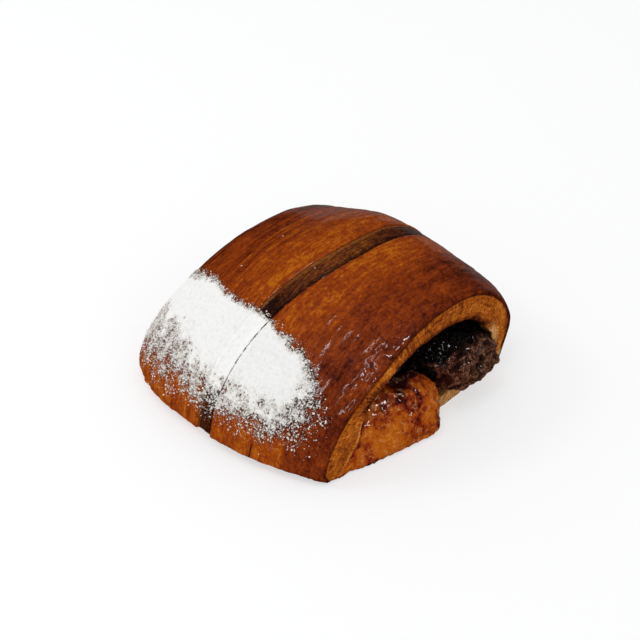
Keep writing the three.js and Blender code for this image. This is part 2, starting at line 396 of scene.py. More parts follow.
def mixColours(tree, factor, first, second):
    made = tree.nodes.new("ShaderNodeMix")
    made.data_type = "RGBA"
    feed(tree, made.inputs[0], factor)
    feed(tree, made.inputs[6], first)
    feed(tree, made.inputs[7], second)
    return made.outputs[2]


def bump(tree, height, distance, strength):
    made = tree.nodes.new("ShaderNodeBump")
    made.inputs["Strength"].default_value = strength
    made.inputs["Distance"].default_value = distance * mm
    feed(tree, made.inputs["Height"], height)
    return made.outputs[0]


# What lies in the open ends. Half sizes are to the back, to the front, up and down
openEnd = {
    "mouthY": 6.0, "mouthZ": 11.0, "mouth": (32.0, 35.0, 23.5, 6.0), "flatness": 0.7,
    "turnY": -13.0, "turnZ": 8.4, "turn": (15.5, 22.0, 13.0, 9.0), "power": 2.3, "farOut": 0.8,
    "lumpX": 40.5, "lumpY": 23.5, "lumpZ": 15.2, "lump": (13.5, 20.0, 12.0), "lumpSlope": 0.2,
}


def ovalShare(y, z, halves):  # 1 on the edge of an oval
    return np.hypot(z, y) / ovalReach(np.arctan2(z, y), halves, openEnd["power"])


def endPlaces(points):  # way out past the open end, share of its mouth, share of the inner turn
    e = openEnd
    x = np.abs(points[:, 0] - wrap["middleX"])
    near = points[:, 0] > 0
    y = points[:, 1] - wrap["middleY"]
    z = points[:, 2]
    level = np.where(near, z, z / lerp(1, e["flatness"], smooth(x / wrap["endX"])))
    past = x - wrap["endX"] - np.where(near, endBulge(y, z), e["farOut"])
    mouthShare = ovalShare(y - e["mouthY"], level - e["mouthZ"], e["mouth"])
    turnShare = ovalShare(y - e["turnY"], level - e["turnZ"], e["turn"])
    return past, mouthShare, turnShare


def lumpShare(points):  # 1 on the surface of the chocolate's lump
    e = openEnd
    x = np.abs(points[:, 0] - wrap["middleX"])
    level = np.where(points[:, 0] > 0, points[:, 2], points[:, 2] / e["flatness"])
    y = points[:, 1] - wrap["middleY"] - e["lumpY"]
    z = level - e["lumpZ"] + e["lumpSlope"] * y
    along, across, upright = e["lump"]
    return np.sqrt(((x - e["lumpX"]) / along) ** 2 + (y / across) ** 2 + (z / upright) ** 2)


# The strip's run: where its middle lies along X, for a direction round the roll
strip = {
    "crestX": 9.6, "frontX": 1.6, "turnFrom": 1.5, "turnOver": 1.5, "halfWidth": 3.3, "voxel": 0.34,
    "widen": 0.34, "fill": 0.35, "crestWay": 95, "crestWidth": 30, "crestLighter": 0.3,
    "darker": 0.3, "darkFrom": (115, 135), "footLighter": 0.34, "footFrom": (150, 165),
}


def stripMiddle(a):
    return lerp(strip["crestX"], strip["frontX"], smooth((a - strip["turnFrom"]) / strip["turnOver"]))


# The sugar's cover on the front wall, over directions round the roll in degrees
sugar = {
    "topX": [-46, -40, -27, -18, 6, 12, 18, 24, 30, 36, 42],
    "top": [139, 136, 132.5, 133.5, 132.3, 134, 136, 137.5, 142, 147, 152],
    "topHalf": 2.6, "sideHalf": 5.0, "nearSide": (8, 24), "farSide": (24, 38),
    "way": [149, 154, 158, 163, 167, 171, 174, 177],
    "middle": [1.0, 0.97, 0.86, 0.68, 0.46, 0.22, 0.04, 0.0],
    "left": [0.98, 0.88, 0.68, 0.6, 0.56, 0.36, 0.18, 0.04],
    "leftFrom": -12.0, "leftFull": -22.0, "rightCore": 25.0, "rightEdge": 46.5, "thickness": 0.3,
    "thin": 0.7, "onCrust": (6, 1.2),
}


def wayOf(a):  # the direction round the roll in degrees, 0 at the back and 180 at the front
    return np.degrees(np.where(a < -pi / 2, a + 2 * pi, a))


def sugarAt(x, a):  # the share of the crust that sugar covers
    s = sugar
    way = wayOf(a)
    top = np.interp(x, s["topX"], s["top"])
    half = lerp(s["topHalf"], s["sideHalf"], between(x, *s["nearSide"]) + between(-x, *s["farSide"]))
    middle = np.interp(way, s["way"], s["middle"])
    left = np.interp(way, s["way"], s["left"])
    down = lerp(middle, left, between(x, s["leftFrom"], s["leftFull"]))
    density = down * between(way, top - half, top + half) * (1 - between(x, s["rightCore"], s["rightEdge"]))
    onWall = np.stack([x, way, way * 0], 1)
    clumps = pattern("sugarClumps", onWall) + pattern("sugarSpecks", onWall)
    return clamp01(density * (1 + clumps * (1 - density)))


# The baked dough
dough = {
    "voxel": 0.65, "hiddenShare": 0.1, "hiddenX": 31, "hiddenDepth": 6, "blisters": 0.28,
    "blisterWay": 130, "blisterWidth": 26, "pores": 0.32, "poresFrom": (0.35, 0.8), "edgeGroove": 0.3,
    "grooveDepth": 1.7, "grooveWidth": 0.6, "stepHeight": 0.42, "stepWidth": 4.5, "stepWay": (96, 130),
    "seamX": 21.3, "seamLean": 0.08, "seamDepth": 0.55, "seamWidth": 0.7, "seamWay": 150,
    "creases": 0.45, "creaseWidth": 0.14, "ridge": 0.55, "ridgeY": 1.8, "ridgeLean": 3.2, "ridgeWidth": 1.7,
    "patchY": -5.0, "patchZ": 18.2, "patchWidth": 7.4, "patchHeight": 4.8, "patchDepth": 0.4,
    "cornerOut": 2.0, "cornerY": 3.6, "cornerZ": 1.0, "cornerWidth": 3.4, "cornerHeight": 4.0,
    "lipY": -28.2, "lipSlope": 0.68, "lipZ": 13, "underSugar": 0.35, "snap": 0.45,
}


def lipY(z):  # where the sheet's inner lip meets the inner turn, low on the open end
    return dough["lipY"] - dough["lipSlope"] * (dough["lipZ"] - z)


def toSeam(points, x):  # way along X from the front wall's seam
    return x - dough["seamX"] - dough["seamLean"] * points[:, 2]


def turnSpots(points):  # the inner turn's raised rim, the dark patch beside it and its foot at the back
    d = dough
    y = points[:, 1]
    z = points[:, 2]
    rim = hump(y - d["ridgeY"] + d["ridgeLean"] * between(z, 16.5, 21), d["ridgeWidth"]) * between(z, 4, 8)
    away = np.hypot((y - d["patchY"]) / d["patchWidth"], (z - d["patchZ"]) / d["patchHeight"])
    patch = between(away + pattern("patchEdge", points), 1.15, 0.7) * between(y, -0.4, -2.2)
    corner = hump(y - d["cornerY"], d["cornerWidth"]) * hump(z - d["cornerZ"], d["cornerHeight"])
    return rim, patch, corner


def doughZones(points, depth):  # shares of the crust, the sheet's end and the inner turn
    y = points[:, 1]
    z = points[:, 2]
    past, mouthShare, turnShare = endPlaces(points)
    farEdge = (points[:, 0] < 0) * between(depth, 8, 4) * between(mouthShare, 0.98, 1.03)
    crust = np.maximum(between(depth, 1.3, 0.5), farEdge)
    band = between(past, -2.2, -0.6) * between(depth, 0.9, 1.6) * between(mouthShare, 0.97, 1.01)
    inMouth = between(np.abs(points[:, 0] - wrap["middleX"]), 39, 42) * between(mouthShare, 1.0, 0.95)
    turn = inMouth * between(turnShare, 1.75, 1.5)
    turn = np.maximum(turn, between(past, 0.2, 1.3) * between(turnShare, 1.12, 1.04))
    besideLip = between(y - lipY(z), -0.4, 0.4) * between(z, 16, 13)
    turn = np.maximum(turn, besideLip * between(past, -3, -2) * between(y, -10, -14) * (1 - crust))
    return crust, band * (1 - turn) * (1 - farEdge), turn


def crustRelief(points, x, a, onWrap):
    d = dough
    degrees = np.degrees(a)
    nearRim = between(x, 36, 43) * hump(degrees - d["blisterWay"], d["blisterWidth"])
    relief = pattern("streaks", onWrap) + pattern("swells", onWrap) + pattern("lumps", points)
    relief += d["blisters"] * nearRim * np.maximum(0, pattern("blisters", onWrap)) ** 0.7
    relief += nearRim * pattern("fineBlisters", onWrap)
    toStrip = x - stripMiddle(a) - strip["halfWidth"]
    step = np.where(toStrip > 0, hump(toStrip, d["stepWidth"]), 0) * between(degrees, *d["stepWay"])
    low = between(points[:, 2], 16, 9) * (degrees > d["seamWay"])
    return relief + d["stepHeight"] * step - d["seamDepth"] * hump(toSeam(points, x), d["seamWidth"]) * low


def bandRelief(points, x, wayRound, depth):
    d = dough
    across = np.stack([depth, wayRound, x], 1)
    outside = endPlaces(points)[1] > 1
    groove = d["edgeGroove"] * hump(depth - d["grooveDepth"], d["grooveWidth"]) * outside
    pores = d["pores"] * between(pattern("pores", across), *d["poresFrom"])
    return pattern("layers", across) - pores - groove + pattern("bandLumps", points)


def turnRelief(points):
    d = dough
    rim, patch, corner = turnSpots(points)
    relief = pattern("wrinkles", points) - d["creases"] * hump(pattern("creases", points), d["creaseWidth"])
    relief += pattern("turnGrain", points) + d["ridge"] * rim + d["cornerOut"] * corner
    relief += patch * (pattern("patchFolds", points) - d["patchDepth"])
    return relief + pattern("turnBumps", points)


# How dark the dough has baked, with painted shade and painted highlights on the open end
baked = {
    "crust": 0.42, "nearEnd": 0.21, "nearFrom": (20, 42), "farEnd": 0.22, "farFrom": (18, 44),
    "besideStrip": 8, "stripWidth": 7, "rightLighter": 0.15, "leftLighter": 0.12, "streaks": 0.07,
    "crestStreaks": 0.32, "crestFrom": (4, 16), "crestWay": 105, "crestWidth": 24, "wallFoot": 0.22,
    "cornerFoot": 0.35, "cornerFrom": (31, 35), "footFrom": (160, 170), "back": 0.05,
    "backFrom": (70, 20), "underneath": 0.5, "turn": 0.55, "patch": 0.26, "rim": 0.14, "capRecessShade": 0.6,
    "behindPast": (-2.4, -3.8), "corner": 0.35, "cornerY": 3.8, "glow": 0.14, "glowY": -18, "glowZ": 10,
    "spots": 0.26, "bruise": 0.2, "bruiseY": -31.0, "bruiseZ": 4.5, "mouthCreaseShade": 0.55, "lipCreaseShade": 0.25,
    "band": 0.52, "edgeBakeAndShade": 0.4, "mouthEdge": 0.36, "mouthRimHighlight": 0.45, "lipHighlight": 0.4, "ground": 0.4,
    "paleY": 41.3, "paleZ": 17.4, "paleWidth": 3.4, "paleHeight": 4.2, "paleFoot": 0.6,
}


def bakeOf(points, x, a, turn):  # how dark the crust has baked, 0 golden to 1 burnt
    b = baked
    way = wayOf(a)
    toStrip = x - stripMiddle(a)
    bake = b["crust"] + b["nearEnd"] * between(x, *b["nearFrom"]) + b["farEnd"] * between(-x, *b["farFrom"])
    bake -= (b["rightLighter"] * hump(toStrip - b["besideStrip"], b["stripWidth"])
             + b["leftLighter"] * hump(toStrip + b["besideStrip"], b["stripWidth"]))
    bake += pattern("broadBake", points) + pattern("smallBake", points)
    atCrest = between(-x, *b["crestFrom"]) * hump(way - b["crestWay"], b["crestWidth"])
    grain = pattern("bakeStreaks", np.stack([x, way, way * 0], 1))
    bake += grain * lerp(b["streaks"], b["crestStreaks"], atCrest)
    foot = b["wallFoot"] + b["cornerFoot"] * between(x, *b["cornerFrom"]) + pattern("footBake", points)
    bake = lerp(bake, foot, between(way, *b["footFrom"])) + b["back"] * between(way, *b["backFrom"])
    return clamp01(bake + b["underneath"] * between(points[:, 2], 1.4, 0.2) * (1 - turn))


def turnTone(points):  # dark to light over the inner turn, 0 to 1
    b = baked
    y = points[:, 1]
    z = points[:, 2]
    past, mouthShare, _ = endPlaces(points)
    rim, patch, _ = turnSpots(points)
    tone = b["turn"] + pattern("turnShades", points) - b["patch"] * patch + b["rim"] * rim
    # painted shade: darker deeper in the mouth, behind the inner turn's cap
    tone -= b["capRecessShade"] * between(past, *b["behindPast"]) * between(z, 16, 18.5) * between(y, -9, -5)
    tone -= b["corner"] * hump(y - b["cornerY"], 1.0) * between(z, 11, 7) * (points[:, 0] > 0)
    tone += b["glow"] * hump(y - b["glowY"], 8) * hump(z - b["glowZ"], 5)
    tone -= b["spots"] * hump(pattern("turnSpots", points) - 0.4, 0.2)
    tone -= b["bruise"] * hump(y - b["bruiseY"], 3.2) * hump(z - b["bruiseZ"], 3)
    # painted shade: the dark crease between the sheet's end and the inner turn, fading out low down beside
    # the lip
    tone -= b["mouthCreaseShade"] * hump(mouthShare - 1.0, 0.09) * between(z, 12, 17) * between(y, 1, -3)
    tone -= b["lipCreaseShade"] * hump(y - lipY(z) - 1.3, 1.0) * between(z, 3, 6) * between(z, 17, 13)
    # darker at the very bottom: partly a burnt edge, partly painted contact shadow
    return tone - b["ground"] * between(z, 1.3, 0.2)


def bandTone(points, depth):  # dark to light over the sheet's end
    b = baked
    z = points[:, 2]
    mouthShare = endPlaces(points)[1]
    # darker next to the crust's edge: partly the baked edge, partly painted shade in the groove
    tone = b["band"] + pattern("bandShades", points) - b["edgeBakeAndShade"] * between(depth, 1.8, 1.0)
    tone -= b["mouthEdge"] * between(mouthShare, 1.15, 1.03) * between(z, 20, 26)
    # painted highlights: a light line along the inner lip by the mouth, and another beside the lower lip
    tone += b["mouthRimHighlight"] * hump(mouthShare - 1.02, 0.022) * between(z, 26, 20) * between(z, 12, 15)
    tone += b["lipHighlight"] * hump(points[:, 1] - lipY(z) + 0.5, 0.7) * between(z, 2, 4) * between(z, 15, 13)
    # darker at the very bottom: partly a burnt edge, partly painted contact shadow
    return tone - b["ground"] * between(z, 1.3, 0.2)


def paleCrumb(points):  # the unbaked crumb at the mouth's back corner and under the lump
    b = baked
    y = points[:, 1]
    z = points[:, 2]
    backCorner = hump(y - b["paleY"], b["paleWidth"]) * hump(z - b["paleZ"], b["paleHeight"])
    backCorner *= between(endPlaces(points)[1], 1.2, 1.12)
    underLump = between(y, 3, 6) * between(z, 9, 7)
    return clamp01(backCorner + b["paleFoot"] * underLump) * (np.abs(points[:, 0]) > 40)


def fillTurnFoot(piece):  # fills the hollow between the lip and the inner turn's foot
    points = placesOf(piece)
    past, mouthShare, turnShare = endPlaces(points)
    z = points[:, 2]
    pocket = between(points[:, 1], -20, -25) * between(z, 14, 9) * between(turnShare, 1.5, 1.3)
    pocket *= (z > 0.8) * (np.abs(points[:, 0]) > 32) * (mouthShare < 1.2)
    points[:, 0] += np.sign(points[:, 0]) * pocket * np.maximum(0, -0.2 - past)
    movePlaces(piece, points)
    foot = (np.abs(points[:, 0]) > 44) * between(points[:, 1], -17, -23) * between(z, 12, 8)
    foot *= (z > 0.8) * hump(turnShare - 1.05, 0.4)
    smoothBy(piece, 60, 0.5, weightGroup(piece, "turn foot", foot).name)
    piece.vertex_groups.clear()


def snapToCrust(piece):  # undoes what the remesh and the smoothing took from the outer crust
    points = placesOf(piece)
    points[:, 2] = np.where(points[:, 2] < 0.35, 0, points[:, 2])
    _, a, _, depth = wrapPlaces(points)
    snapped = np.where(np.abs(depth) < dough["snap"], depth, 0) * (points[:, 2] > 1)
    snapped *= between(endPlaces(points)[0], -0.4, -4.5)
    points[:, 1] += snapped * np.cos(a)
    points[:, 2] += snapped * np.sin(a)
    movePlaces(piece, points)
    return points


def bakedDough(material):
    piece = remeshed(copyOfNode("dough", "baked_dough_crust"), dough["voxel"])
    points = placesOf(piece)
    depth = wrapPlaces(points)[3]
    inner = (np.abs(points[:, 0]) < dough["hiddenX"]) & (depth > dough["hiddenDepth"])
    thinOut(piece, (points[:, 2] < 0.4) | inner, dough["hiddenShare"])
    smoothBy(piece, 5, 0.5)
    fillTurnFoot(piece)
    points = snapToCrust(piece)
    normals = normalsOf(piece)
    x, a, wayRound, depth = wrapPlaces(points)
    onWrap = np.stack([x, wayRound, depth], 1)
    crust, band, turn = doughZones(points, depth)
    relief = crust * crustRelief(points, x, a, onWrap) + band * bandRelief(points, x, wayRound, depth)
    relief += turn * turnRelief(points) + clamp01(1 - crust - band - turn) * pattern("insideLumps", points)
    covered = sugarAt(x, a) * between(depth, *sugar["onCrust"]) * crust
    relief = relief * (1 - dough["underSugar"] * covered) + sugar["thickness"] * covered ** sugar["thin"]
    relief *= between(points[:, 2], 0.15, 1.6)
    movePlaces(piece, points + normals * relief[:, None])
    giveAttributes(piece, {
        "wrap": onWrap, "crust": crust, "band": band, "turn": turn, "bake": bakeOf(points, x, a, turn),
        "sugar": covered, "tone": lerp(bandTone(points, depth), turnTone(points), turn),
        "toStrip": x - stripMiddle(a) - strip["halfWidth"],
        "toSeam": np.abs(toSeam(points, x)) + 9 * between(points[:, 2], 9, 15),
        "pale": paleCrumb(points) * (1 - crust),
    })
    return finishPiece(piece, material, "dough")


def sugarLayer(tree, here):  # how far the sugar covers what is under it, its colour, and its darker gaps and crack, painted shade with some grease in the gaps
    density = attributeNode(tree, "sugar")
    number = cellNumbers(tree, here, 0.6)
    clumped = evenNoise(tree, here, 1.9, 5, 0.75)
    dapple = evenNoise(tree, here, 1.3, 4, 0.7)
    want = weighted(tree, (density, 1.12), (clumped, 2.2), (number, 0.4))
    want = maths(tree, "ADD", want, spread(tree, density, 0.82, 0.98, 0.0, 0.3))
    over = spread(tree, want, 1.86, 2.08)
    over = maths(tree, "MULTIPLY", over, spread(tree, density, 0.01, 0.08))
    away = weighted(tree, (attributeNode(tree, "toStrip"), 1.0), (clumped, 0.3))
    # painted shade: the crack along the strip's edge is darkened
    crack = spread(tree, maths(tree, "ABSOLUTE", maths(tree, "SUBTRACT", away, 0.35)), 0.62, 0.36)
    crack = maths(tree, "MULTIPLY", crack, spread(tree, dapple, 0.4, 0.48))
    over = maths(tree, "MULTIPLY", over, maths(tree, "SUBTRACT", 1.0, crack))
    thick = maths(tree, "SUBTRACT", weighted(tree, (dapple, 1.3), (density, 0.6)), 0.29)
    sugarColour = ramp(tree, thick, [(0.4, "#c2b2a2"), (0.62, "#e2dcd4"), (0.82, "#f3f1ee"),
                                     (1.0, "#f8f8f6")])
    # painted shade between the sugar's clumps, partly grease, stronger further right
    rightDarker = spread(tree, attributeNode(tree, "toStrip"), 2, 22, 0.45, 0.75)
    gapShade = maths(tree, "MULTIPLY", spread(tree, density, 0.1, 0.6), rightDarker)
    return over, sugarColour, maths(tree, "MAXIMUM", gapShade, crack)


def feedSugared(tree, shader, colour, over, sugarColour, gapShade):  # darker gaps, partly grease and partly painted shade, and white over them
    under = mixColours(tree, gapShade, colour, shade("#1c0a04"))
    feed(tree, shader.inputs["Base Color"], mixColours(tree, over, under, sugarColour))
    coat = shader.inputs["Coat Weight"]
    feed(tree, coat, spread(tree, over, 0.0, 0.6, coat.default_value, 0.0))


def feedDimples(tree, shader, here):  # small dimples that break up the egg wash's glints
    feed(tree, shader.inputs["Coat Normal"], bump(tree, evenNoise(tree, here, 1.3, 1, 0.4), 0.1, 0.55))


def crustMaterial():
    material, tree, shader = newMaterial("baked crust", 0.36, 0.5, 0.1, 0.04)
    onWrap = attributeNode(tree, "wrap", "Vector")
    here = objectPlaces(tree)
    over, sugarColour, gapShade = sugarLayer(tree, here)
    streak = noise(tree, stretched(tree, onWrap, (1 / 1.0, 1 / 5.5, 0.2)), 4, 0.62)
    broad = noise(tree, stretched(tree, onWrap, (1 / 3.2, 1 / 26, 0.1)), 3, 0.55)
    fine = noise(tree, stretched(tree, onWrap, (1 / 0.5, 1 / 1.4, 0.5)), 3, 0.6)
    mottle = evenNoise(tree, here, 1.2, 5, 0.8)
    blotch = evenNoise(tree, here, 3.2, 4, 0.6)
    bake = weighted(tree, (attributeNode(tree, "bake"), 1.0), (streak, 0.9), (broad, 0.5), (fine, 0.7),
                    (mottle, 1.2), (blotch, 0.6))
    bake = maths(tree, "SUBTRACT", bake, 1.96)
    crustColour = ramp(tree, bake, [(0.0, "#ba660b"), (0.14, "#a64b06"), (0.28, "#943b06"),
                                    (0.42, "#853508"), (0.58, "#732907"), (0.72, "#5e1e06"),
                                    (0.87, "#431305"), (1.0, "#260b04")])
    layers = noise(tree, stretched(tree, onWrap, (0.3, 1 / 9, 1 / 1.1)), 3, 0.55)
    speckle = evenNoise(tree, here, 0.8, 4, 0.7)
    crossing = noise(tree, stretched(tree, onWrap, (0.4, 1 / 0.8, 1 / 2.6)), 3, 0.6)
    tone = attributeNode(tree, "tone")
    patches = evenNoise(tree, here, 2.4, 5, 0.7)
    mixed = weighted(tree, (tone, 1.0), (layers, 0.6), (speckle, 1.1), (crossing, 0.8), (patches, 0.5))
    mixed = maths(tree, "SUBTRACT", mixed, 1.57)
    bandColour = ramp(tree, mixed, [(0.0, "#2e0f04"), (0.18, "#5c2205"), (0.34, "#8a3e06"), (0.5, "#ae5809"),
                                    (0.66, "#c67018"), (0.85, "#e09c4a")])
    pores = evenNoise(tree, here, 0.9, 2, 0.5)
    bandColour = mixColours(tree, spread(tree, pores, 0.66, 0.71), bandColour, shade("#4a1e08"))
    turned = maths(tree, "SUBTRACT", weighted(tree, (tone, 1.0), (patches, 1.1), (speckle, 0.8)), 0.93)
    turnColour = ramp(tree, turned, [(0.05, "#300904"), (0.2, "#6e1c08"), (0.36, "#983808"),
                                     (0.52, "#b65808"), (0.68, "#be6009"), (0.82, "#cf7e1e"),
                                     (0.95, "#eabc7c")])
    wrinkled = maths(tree, "ABSOLUTE", maths(tree, "SUBTRACT", evenNoise(tree, here, 3.4, 4, 0.7), 0.5))
    wrinklesShown = spread(tree, patches, 0.48, 0.64, 0.0, 0.9)
    wrinkled = maths(tree, "MULTIPLY", spread(tree, wrinkled, 0.028, 0.0), wrinklesShown)
    turnColour = mixColours(tree, wrinkled, turnColour, shade("#dca06c"))
    # near-black inside the mouth: partly chocolate-soaked dough, partly painted shade of the recess
    soakedAndShadedInside = ramp(tree, patches, [(0.35, "#080302"), (0.6, "#160a06")])
    colour = mixColours(tree, attributeNode(tree, "band"), soakedAndShadedInside, bandColour)
    colour = mixColours(tree, attributeNode(tree, "turn"), colour, turnColour)
    colour = mixColours(tree, attributeNode(tree, "crust"), colour, crustColour)
    paleColour = ramp(tree, speckle, [(0.3, "#a05c20"), (0.44, "#c48840"), (0.58, "#e4b878"),
                                      (0.72, "#fae4b8")])
    colour = mixColours(tree, attributeNode(tree, "pale"), colour, paleColour)
    seam = spread(tree, weighted(tree, (attributeNode(tree, "toSeam"), 1.0), (mottle, 0.6)), 0.85, 0.45)
    seam = maths(tree, "MULTIPLY", seam, attributeNode(tree, "crust"))
    colour = mixColours(tree, seam, colour, shade("#260c04"))
    feedSugared(tree, shader, colour, over, sugarColour, gapShade)
    rough = spread(tree, mottle, 0.35, 0.65, 0.22, 0.5)
    rough = maths(tree, "MAXIMUM", rough, maths(tree, "MULTIPLY", over, 0.9))
    rough = maths(tree, "MAXIMUM", rough, maths(tree, "MULTIPLY", attributeNode(tree, "band"), 0.62))
    feed(tree, shader.inputs["Roughness"], rough)
    height = weighted(tree, (streak, 0.6), (fine, 0.8), (mottle, 1.0), (over, 0.9))
    feed(tree, shader.inputs["Normal"], bump(tree, height, 0.3, 0.9))
    feedDimples(tree, shader, here)
    return material


# The chocolate, with a glossy black pool in each mouth, its black partly painted shade under the arch, and a
# rough lump pushed out of it
chocolate = {
    "voxel": 0.45, "hiddenX": 30, "hiddenShare": 0.1, "grown": 0.22, "crags": 0.65, "crumbs": 0.75,
    "sunk": 0.2, "melted": 1.6, "cornerBack": 2.6, "lowest": 0.3, "shoreHeight": 1.0, "poolY": (10.0, 8.0),
    "shoreY": [1.0, 9.0, 11.0, 14.0, 18.0, 26.0, 32.0],
    "shoreZ": [24.0, 23.0, 22.5, 24.5, 25.0, 23.4, 21.8],
}


def poolAndShadeShare(points):  # where the chocolate is coloured black above and in front of the lump: melted chocolate and painted shade under the arch
    c = chocolate
    level = np.where(points[:, 0] > 0, points[:, 2], points[:, 2] / openEnd["flatness"])
    wavy = pattern("shore", points)
    above = level - np.interp(points[:, 1], c["shoreY"], c["shoreZ"]) + wavy
    above = between(above, -c["shoreHeight"], c["shoreHeight"])
    return clamp01(above + between(points[:, 1] + wavy, *c["poolY"]))


def chocolateFilling(material):
    c = chocolate
    piece = remeshed(copyOfNode("chocolate", "chocolate_filling"), c["voxel"])
    thinOut(piece, np.abs(placesOf(piece)[:, 0]) < c["hiddenX"], c["hiddenShare"])
    smoothBy(piece, 4, 0.5)
    points = placesOf(piece)
    outward = np.abs(points[:, 0])
    onLump = between(lumpShare(points), 1.3, 1.12) * between(outward, 38, 42)
    lump = onLump * (1 - poolAndShadeShare(points))
    ridges = 1 - np.abs(pattern("crags", points)) * 2
    crumbs = 1 - np.abs(pattern("crumbs", points)) * 2
    rough = c["crags"] * ridges + c["crumbs"] * crumbs + pattern("grit", points) - c["sunk"]
    pool = pattern("poolWaves", points) + pattern("poolGrain", points) - c["melted"] * (onLump - lump)
    backCorner = between(points[:, 1], 33, 37) * between(points[:, 2], 14, 19)
    relief = c["grown"] + lerp(pool, rough, lump) * (1 - backCorner) - c["cornerBack"] * backCorner
    points = points + normalsOf(piece) * (relief * between(outward, 28, 33))[:, None]
    points[:, 2] = np.maximum(points[:, 2], c["lowest"])
    movePlaces(piece, points)
    giveAttributes(piece, {"lump": lump, "ridge": clamp01(0.5 + 0.25 * ridges + 0.35 * crumbs),
                           "red": between(points[:, 1], 25, 15)})
    return finishPiece(piece, material, "chocolate")


def chocolateMaterial():
    material, tree, shader = newMaterial("melted chocolate", 0.45, 0.35, 0.08)
    here = objectPlaces(tree)
    lump = attributeNode(tree, "lump")
    mottle = evenNoise(tree, here, 1.6, 4, 0.65)
    grit = evenNoise(tree, here, 0.5, 3, 0.6)
    shown = weighted(tree, (attributeNode(tree, "ridge"), 0.4), (mottle, 0.5), (grit, 1.0))
    shown = maths(tree, "SUBTRACT", shown, 0.42)
    lumpColour = ramp(tree, shown, [(0.3, "#080202"), (0.46, "#190905"), (0.58, "#2d1208"),
                                    (0.68, "#4e2714"), (0.8, "#94644a")])
    redColour = ramp(tree, shown, [(0.3, "#100201"), (0.46, "#280602"), (0.58, "#3e1006"),
                                   (0.68, "#602a16"), (0.8, "#a06c50")])
    lumpColour = mixColours(tree, attributeNode(tree, "red"), lumpColour, redColour)
    # painted glints: light grey specks in the black pool's colour
    glintNoise = weighted(tree, (mottle, 0.5), (grit, 0.6))
    poolShadeAndGlintColour = ramp(tree, glintNoise, [(0.5, "#020101"), (0.59, "#0a0504"), (0.66, "#2c211c"),
                                     (0.72, "#665a54")])
    feed(tree, shader.inputs["Base Color"], mixColours(tree, lump, poolShadeAndGlintColour, lumpColour))
    feed(tree, shader.inputs["Roughness"], spread(tree, lump, 0.0, 1.0, 0.2, 0.5))
    feed(tree, shader.inputs["Normal"], bump(tree, weighted(tree, (mottle, 0.6), (grit, 1.6)), 0.7, 1.0))
    return material


# The cocoa strip
def cocoaStrip(material):
    s = strip
    piece = remeshed(copyOfNode("cocoa_strip", "cocoa_dough_strip"), s["voxel"])
    smoothBy(piece, 3, 0.5)
    points = placesOf(piece)
    x, a, wayRound, depth = wrapPlaces(points)
    toMiddle = x - stripMiddle(a)
    onWrap = np.stack([x, wayRound, depth], 1)
    outer = between(depth, 1.1, 0.6)
    covered = sugarAt(x, a)
    filled = s["fill"] * between(np.abs(toMiddle), 1.0, 3.0) * covered
    relief = pattern("stripStreaks", onWrap) + pattern("stripSwells", onWrap)
    relief = outer * (relief + filled + sugar["thickness"] * covered ** sugar["thin"])
    points = points + normalsOf(piece) * relief[:, None]
    sideways = np.clip(toMiddle / s["halfWidth"], -1, 1) * between(np.abs(toMiddle), 2.2, 3)
    points[:, 0] += s["widen"] * sideways
    points[:, 2] = np.maximum(points[:, 2], 0)
    movePlaces(piece, points)
    bake = 0.5 - s["crestLighter"] * hump(np.degrees(a) - s["crestWay"], s["crestWidth"])
    bake += s["darker"] * between(wayOf(a), *s["darkFrom"])
    bake -= s["footLighter"] * between(wayOf(a), *s["footFrom"])
    giveAttributes(piece, {"wrap": onWrap, "toStrip": toMiddle - s["halfWidth"], "bake": clamp01(bake),
                           "sugar": covered * outer})
    return finishPiece(piece, material, "cocoa_strip")


def stripMaterial():
    material, tree, shader = newMaterial("cocoa dough", 0.42, 0.4, 0.12)
    onWrap = attributeNode(tree, "wrap", "Vector")
    here = objectPlaces(tree)
    over, sugarColour, gapShade = sugarLayer(tree, here)
    streak = noise(tree, stretched(tree, onWrap, (1 / 0.7, 1 / 5, 0.2)), 4, 0.6)
    mottle = evenNoise(tree, here, 1.3, 4, 0.65)
    fine = evenNoise(tree, here, 0.5, 3, 0.6)
    bake = weighted(tree, (attributeNode(tree, "bake"), 1.0), (streak, 1.3), (mottle, 0.9), (fine, 0.9))
    bake = maths(tree, "SUBTRACT", bake, 1.52)
    colour = ramp(tree, bake, [(0.05, "#854812"), (0.25, "#642e0a"), (0.45, "#481c06"), (0.65, "#2e0e04"),
                               (0.9, "#150502")])
    # painted shadow: the strip darker along its right side, where the raised crust beside it shades it
    side = weighted(tree, (attributeNode(tree, "toStrip"), 1.0), (mottle, 2.0))
    colour = mixColours(tree, spread(tree, side, -1.1, 0.7, 0.0, 0.75), colour, shade("#180502"))
    streaky = spread(tree, streak, 0.4, 0.6, 0.3, 0.9)
    paleSide = maths(tree, "MULTIPLY", spread(tree, side, -4.3, -5.2), streaky)
    colour = mixColours(tree, paleSide, colour, shade("#8c5420"))
    feedSugared(tree, shader, colour, over, sugarColour, gapShade)
    rough = spread(tree, streak, 0.3, 0.7, 0.3, 0.5)
    feed(tree, shader.inputs["Roughness"], maths(tree, "MAXIMUM", rough, maths(tree, "MULTIPLY", over, 0.9)))
    height = weighted(tree, (streak, 0.6), (fine, 0.4), (mottle, 0.5), (over, 0.9))
    feed(tree, shader.inputs["Normal"], bump(tree, height, 0.3, 0.8))
    feedDimples(tree, shader, here)
    return material


